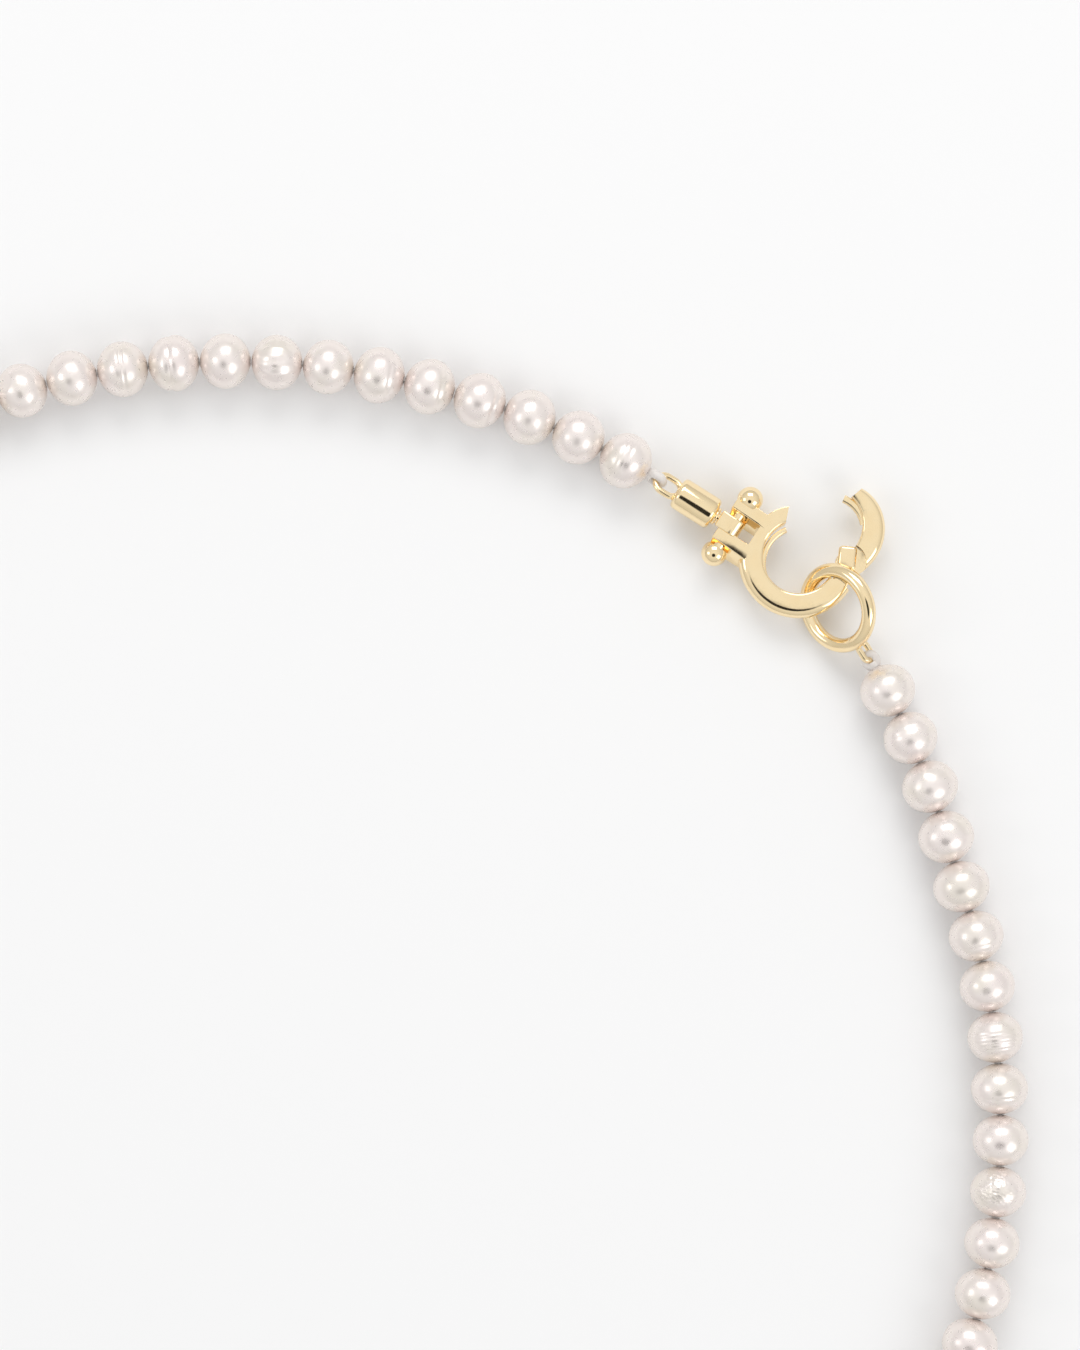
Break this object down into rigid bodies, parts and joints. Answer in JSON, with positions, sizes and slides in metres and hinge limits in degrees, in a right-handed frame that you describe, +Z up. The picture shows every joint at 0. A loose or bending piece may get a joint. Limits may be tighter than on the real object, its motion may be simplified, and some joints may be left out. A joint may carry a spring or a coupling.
{
  "type": "pearl necklace",
  "caption": "Closed necklace of drilled pearls on thread, joined by a swivel hook clasp with a hinged gate and a linked ring.",
  "frame": {"origin": "middle of the loop, on the table the necklace lies on", "axes": "+Z up from the table, +Y towards the far side of the loop, the clasp lies between +X and +Y"},
  "size_m": [0.1384, 0.1384, 0.0059],
  "materials": {
    "gold": "polished yellow gold",
    "nacre": "satin nacre",
    "silk": "doubled beading thread"
  },
  "bodies": {
    "clasp_hook": {"clasp_hook": "gold", "clevis_pin": "gold", "gate_rivet": "gold"},
    "clasp_gate": {"clasp_gate": "gold"},
    "swivel_tongue": {"swivel_tongue": "gold", "pearls_clasp_side": "nacre", "thread_clasp_side": "silk"},
    "swivel_barrel": {"swivel_barrel": "gold", "strand_eye": "gold", "thread_loop_left": "silk"},
    "strand_left_1": {"pearls_left_1": "nacre", "thread_left_1": "silk"},
    "strand_left_2": {"pearls_left_2": "nacre", "thread_left_2": "silk"},
    "strand_left_3": {"pearls_left_3": "nacre", "thread_left_3": "silk"},
    "strand_left_4": {"pearls_left_4": "nacre", "thread_left_4": "silk"},
    "strand_left_5": {"pearls_left_5": "nacre", "thread_left_5": "silk"},
    "strand_left_6": {"pearls_left_6": "nacre", "thread_left_6": "silk"},
    "strand_left_7": {"pearls_left_7": "nacre", "thread_left_7": "silk"},
    "strand_left_8": {"pearls_left_8": "nacre", "thread_left_8": "silk"},
    "strand_left_9": {"pearls_left_9": "nacre", "thread_left_9": "silk"},
    "strand_back_left": {"pearls_back_left": "nacre", "thread_back_left": "silk"},
    "strand_back_middle": {"pearls_back_middle": "nacre", "thread_back_middle": "silk"},
    "linked_ring": {"linked_ring": "gold", "ring_bail": "gold", "thread_loop_right": "silk"},
    "strand_right_1": {"pearls_right_1": "nacre", "thread_right_1": "silk"},
    "strand_right_2": {"pearls_right_2": "nacre", "thread_right_2": "silk"},
    "strand_right_3": {"pearls_right_3": "nacre", "thread_right_3": "silk"},
    "strand_right_4": {"pearls_right_4": "nacre", "thread_right_4": "silk"},
    "strand_right_5": {"pearls_right_5": "nacre", "thread_right_5": "silk"},
    "strand_right_6": {"pearls_right_6": "nacre", "thread_right_6": "silk"},
    "strand_right_7": {"pearls_right_7": "nacre", "thread_right_7": "silk"},
    "strand_right_8": {"pearls_right_8": "nacre", "thread_right_8": "silk"},
    "strand_right_9": {"pearls_right_9": "nacre", "thread_right_9": "silk"},
    "strand_back_right": {"pearls_back_right": "nacre", "thread_back_right": "silk"}
  },
  "joints": [
    {"name": "gate_hinge", "type": "hinge", "parent": "clasp_hook", "child": "clasp_gate", "pos_m": [0.05332, 0.0492, 0.00248], "axis": [0, 0, 1], "range_deg": [-20, 56]},
    {"name": "tongue_fold", "type": "hinge", "parent": "clasp_hook", "child": "swivel_tongue", "pos_m": [0.0434, 0.05237, 0.00248], "axis": [0.5575, 0.8302, 0], "range_deg": [-25, 25]},
    {"name": "barrel_spin", "type": "hinge", "parent": "swivel_tongue", "child": "swivel_barrel", "pos_m": [0.0434, 0.05237, 0.00248], "axis": [0.8453, -0.5344, 0], "continuous": true},
    {"name": "bend_left_1", "type": "hinge", "parent": "swivel_tongue", "child": "strand_left_1", "pos_m": [0.01924, 0.06392, 0.00248], "axis": [0, 0, 1], "range_deg": [-5, 5]},
    {"name": "bend_left_2", "type": "hinge", "parent": "strand_left_1", "child": "strand_left_2", "pos_m": [0.00157, 0.06673, 0.00248], "axis": [0, 0, 1], "range_deg": [-1.73, 1.73]},
    {"name": "bend_left_3", "type": "hinge", "parent": "strand_left_2", "child": "strand_left_3", "pos_m": [-0.01621, 0.06475, 0.00248], "axis": [0, 0, 1], "range_deg": [-1.03, 1.03]},
    {"name": "bend_left_4", "type": "hinge", "parent": "strand_left_3", "child": "strand_left_4", "pos_m": [-0.03282, 0.05812, 0.00248], "axis": [0, 0, 1], "range_deg": [-2.64, 2.64]},
    {"name": "bend_left_5", "type": "hinge", "parent": "strand_left_4", "child": "strand_left_5", "pos_m": [-0.04708, 0.04732, 0.00248], "axis": [0, 0, 1], "range_deg": [-4.06, 4.06]},
    {"name": "bend_left_6", "type": "hinge", "parent": "strand_left_5", "child": "strand_left_6", "pos_m": [-0.06005, 0.02915, 0.00248], "axis": [0, 0, 1], "range_deg": [-4.06, 4.06]},
    {"name": "bend_left_7", "type": "hinge", "parent": "strand_left_6", "child": "strand_left_7", "pos_m": [-0.06563, 0.01216, 0.00248], "axis": [0, 0, 1], "range_deg": [-2.64, 2.64]},
    {"name": "bend_left_8", "type": "hinge", "parent": "strand_left_7", "child": "strand_left_8", "pos_m": [-0.06651, -0.00571, 0.00248], "axis": [0, 0, 1], "range_deg": [-1.03, 1.03]},
    {"name": "bend_left_9", "type": "hinge", "parent": "strand_left_8", "child": "strand_left_9", "pos_m": [-0.0626, -0.02317, 0.00248], "axis": [0, 0, 1], "range_deg": [-1.73, 1.73]},
    {"name": "bend_left_10", "type": "hinge", "parent": "strand_left_9", "child": "strand_back_left", "pos_m": [-0.05582, -0.04013, 0.00248], "axis": [0, 0, 1], "range_deg": [-5.5, 5.5]},
    {"name": "fold_back_left", "type": "hinge", "parent": "strand_back_left", "child": "strand_back_middle", "pos_m": [-0.03135, -0.05893, 0.00248], "axis": [0.5575, 0.8302, 0], "range_deg": [-25.5, 25.5]},
    {"name": "ring_fold", "type": "hinge", "parent": "clasp_hook", "child": "linked_ring", "pos_m": [0.05147, 0.04643, 0.00248], "axis": [-0.5662, -0.8242, 0], "range_deg": [0, 20]},
    {"name": "bend_right_1", "type": "hinge", "parent": "linked_ring", "child": "strand_right_1", "pos_m": [0.05582, 0.04013, 0.00248], "axis": [0, 0, 1], "range_deg": [-5.5, 5.5]},
    {"name": "bend_right_2", "type": "hinge", "parent": "strand_right_1", "child": "strand_right_2", "pos_m": [0.0626, 0.02317, 0.00248], "axis": [0, 0, 1], "range_deg": [-1.73, 1.73]},
    {"name": "bend_right_3", "type": "hinge", "parent": "strand_right_2", "child": "strand_right_3", "pos_m": [0.06651, 0.00571, 0.00248], "axis": [0, 0, 1], "range_deg": [-1.03, 1.03]},
    {"name": "bend_right_4", "type": "hinge", "parent": "strand_right_3", "child": "strand_right_4", "pos_m": [0.06563, -0.01216, 0.00248], "axis": [0, 0, 1], "range_deg": [-2.64, 2.64]},
    {"name": "bend_right_5", "type": "hinge", "parent": "strand_right_4", "child": "strand_right_5", "pos_m": [0.06005, -0.02915, 0.00248], "axis": [0, 0, 1], "range_deg": [-4.06, 4.06]},
    {"name": "bend_right_6", "type": "hinge", "parent": "strand_right_5", "child": "strand_right_6", "pos_m": [0.04708, -0.04732, 0.00248], "axis": [0, 0, 1], "range_deg": [-4.06, 4.06]},
    {"name": "bend_right_7", "type": "hinge", "parent": "strand_right_6", "child": "strand_right_7", "pos_m": [0.03282, -0.05812, 0.00248], "axis": [0, 0, 1], "range_deg": [-2.64, 2.64]},
    {"name": "bend_right_8", "type": "hinge", "parent": "strand_right_7", "child": "strand_right_8", "pos_m": [0.01621, -0.06475, 0.00248], "axis": [0, 0, 1], "range_deg": [-1.03, 1.03]},
    {"name": "bend_right_9", "type": "hinge", "parent": "strand_right_8", "child": "strand_right_9", "pos_m": [-0.00157, -0.06673, 0.00248], "axis": [0, 0, 1], "range_deg": [-1.73, 1.73]},
    {"name": "bend_right_10", "type": "hinge", "parent": "strand_right_9", "child": "strand_back_right", "pos_m": [-0.01924, -0.06392, 0.00248], "axis": [0, 0, 1], "range_deg": [-5.5, 5.5]}
  ],
  "couplings": [
    {"joint": "bend_left_2", "follows": "bend_left_1", "ratio": 0.24564},
    {"joint": "bend_left_3", "follows": "bend_left_1", "ratio": -0.10578},
    {"joint": "bend_left_4", "follows": "bend_left_1", "ratio": -0.42735},
    {"joint": "bend_left_5", "follows": "bend_left_1", "ratio": -0.71251},
    {"joint": "bend_left_6", "follows": "bend_left_1", "ratio": -0.71251},
    {"joint": "bend_left_7", "follows": "bend_left_1", "ratio": -0.42735},
    {"joint": "bend_left_8", "follows": "bend_left_1", "ratio": -0.10578},
    {"joint": "bend_left_9", "follows": "bend_left_1", "ratio": 0.24564},
    {"joint": "bend_left_10", "follows": "bend_left_1", "ratio": 1},
    {"joint": "fold_back_left", "follows": "tongue_fold", "ratio": -1},
    {"joint": "bend_right_1", "follows": "bend_left_1", "ratio": -1},
    {"joint": "bend_right_2", "follows": "bend_left_1", "ratio": -0.24564},
    {"joint": "bend_right_3", "follows": "bend_left_1", "ratio": 0.10578},
    {"joint": "bend_right_4", "follows": "bend_left_1", "ratio": 0.42735},
    {"joint": "bend_right_5", "follows": "bend_left_1", "ratio": 0.71251},
    {"joint": "bend_right_6", "follows": "bend_left_1", "ratio": 0.71251},
    {"joint": "bend_right_7", "follows": "bend_left_1", "ratio": 0.42735},
    {"joint": "bend_right_8", "follows": "bend_left_1", "ratio": 0.10578},
    {"joint": "bend_right_9", "follows": "bend_left_1", "ratio": -0.24564},
    {"joint": "bend_right_10", "follows": "bend_left_1", "ratio": -1}
  ]
}
